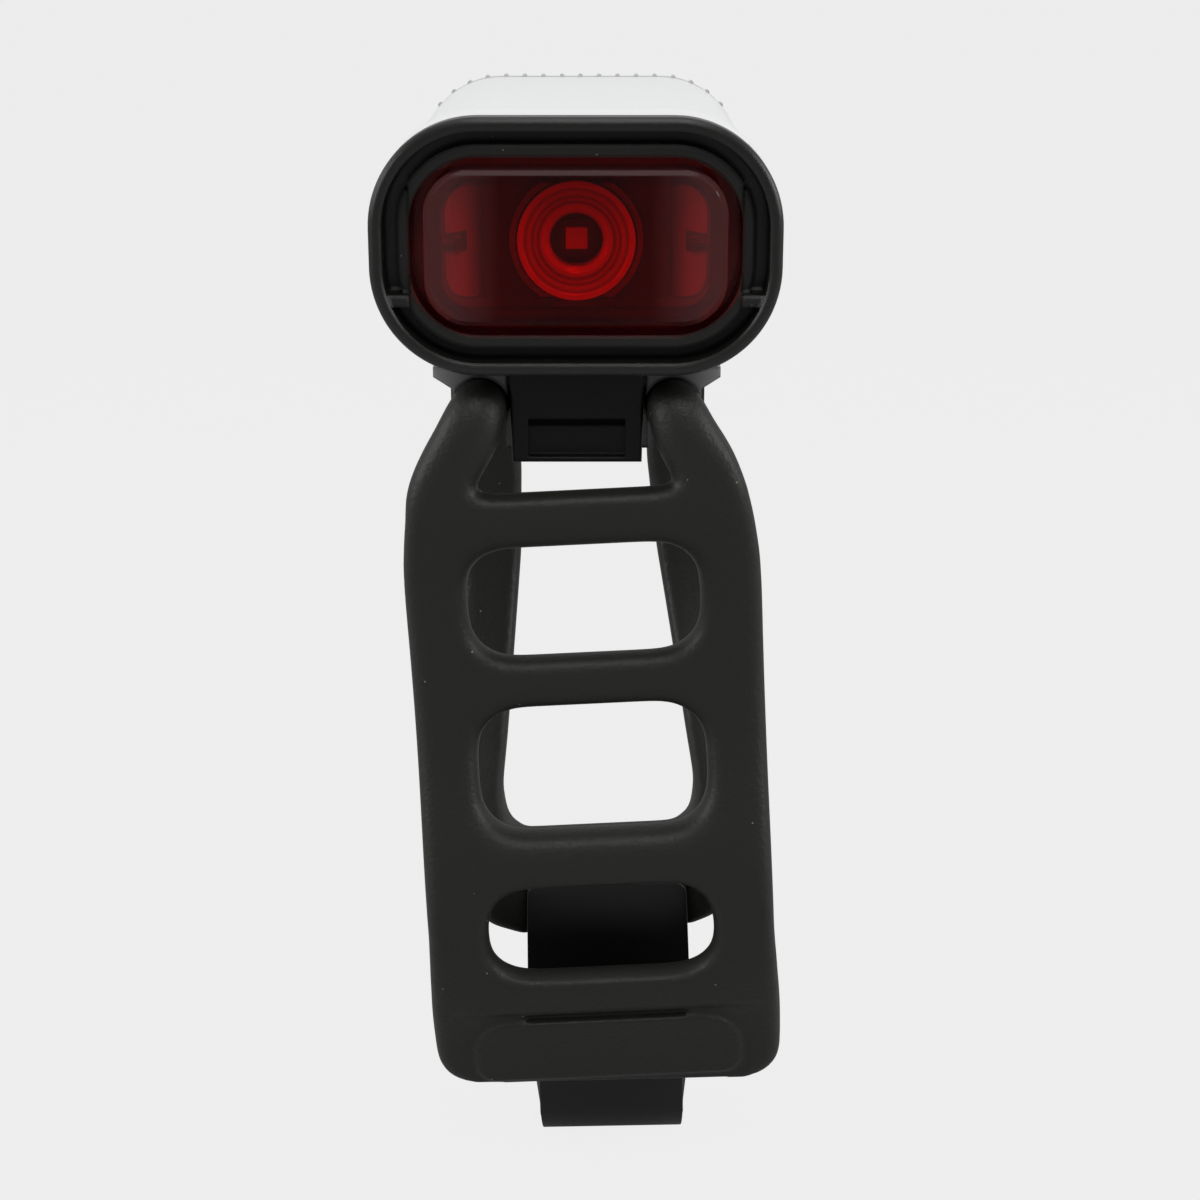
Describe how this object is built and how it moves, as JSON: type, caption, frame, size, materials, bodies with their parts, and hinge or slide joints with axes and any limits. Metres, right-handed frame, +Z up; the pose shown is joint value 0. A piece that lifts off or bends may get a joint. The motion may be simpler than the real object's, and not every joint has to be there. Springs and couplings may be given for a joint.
{
  "type": "bicycle light on a ladder strap",
  "caption": "Compact red battery light with a stepped bezel, white shell, quick-release bracket and a rubber ladder strap with a hook.",
  "frame": {"origin": "apex of the saddle arc under the bracket, where the top of a bar or post touches", "axes": "+Z up through the light, -Y out of the lens, +X to the right seen from behind the lens, the bar that the light sits on runs along X"},
  "size_m": [0.0381, 0.0552, 0.1059],
  "materials": {
    "bezel_plastic": "satin black",
    "red_lens": "clear red",
    "seal_rubber": "matte",
    "clear_optic": "clear",
    "holder_plastic": "matte",
    "led": "matte",
    "board": "matte",
    "steel": "satin",
    "aluminium": "plain",
    "wire": "matte",
    "white_shell": "gloss white",
    "black_shell": "satin black",
    "cell_wrap": "satin",
    "foam": "matte",
    "switch": "matte",
    "cap_plastic": "satin black",
    "button_rubber": "matte",
    "cover_rubber": "matte",
    "bracket_plastic": "gloss black",
    "lever_plastic": "satin black",
    "strap_rubber": "matte",
    "hook_plastic": "gloss black"
  },
  "bodies": {
    "light": {"front_bezel": "bezel_plastic", "lens": "red_lens", "lens_seal": "seal_rubber", "optic": "clear_optic", "optic_holder": "holder_plastic", "led": "led", "led_board": "board", "board_screws": "steel", "heat_spreader": "aluminium", "led_leads": "wire", "upper_housing": "white_shell", "lower_housing": "black_shell", "battery_cell": "cell_wrap", "battery_pad": "foam", "battery_leads": "wire", "main_board": "board", "tact_switch": "switch", "usb_socket": "steel", "rear_cap": "cap_plastic", "rear_cap_seal": "seal_rubber", "cap_screws": "steel", "bracket": "bracket_plastic", "lever_pin": "steel", "lever_springs": "steel", "strap": "strap_rubber", "strap_hook": "hook_plastic"},
    "button": {"power_button": "button_rubber"},
    "cover": {"port_cover": "cover_rubber"},
    "lever": {"release_lever": "lever_plastic"}
  },
  "joints": [
    {"name": "lever_pivot", "type": "hinge", "parent": "light", "child": "lever", "pos_m": [0, -0.0093, 0.0025], "axis": [1, 0, 0], "range_deg": [0, 13], "stiffness_Nm_per_rad": 0.02, "deforming": ["lever_springs"]},
    {"name": "button_press", "type": "slide", "parent": "light", "child": "button", "axis": [0, -1, 0], "range_m": [0, 0.0005], "stiffness_N_per_m": 300},
    {"name": "cover_hinge", "type": "hinge", "parent": "light", "child": "cover", "pos_m": [0, 0.0324, 0.0186], "axis": [1, 0, 0], "range_deg": [0, 100]}
  ]
}
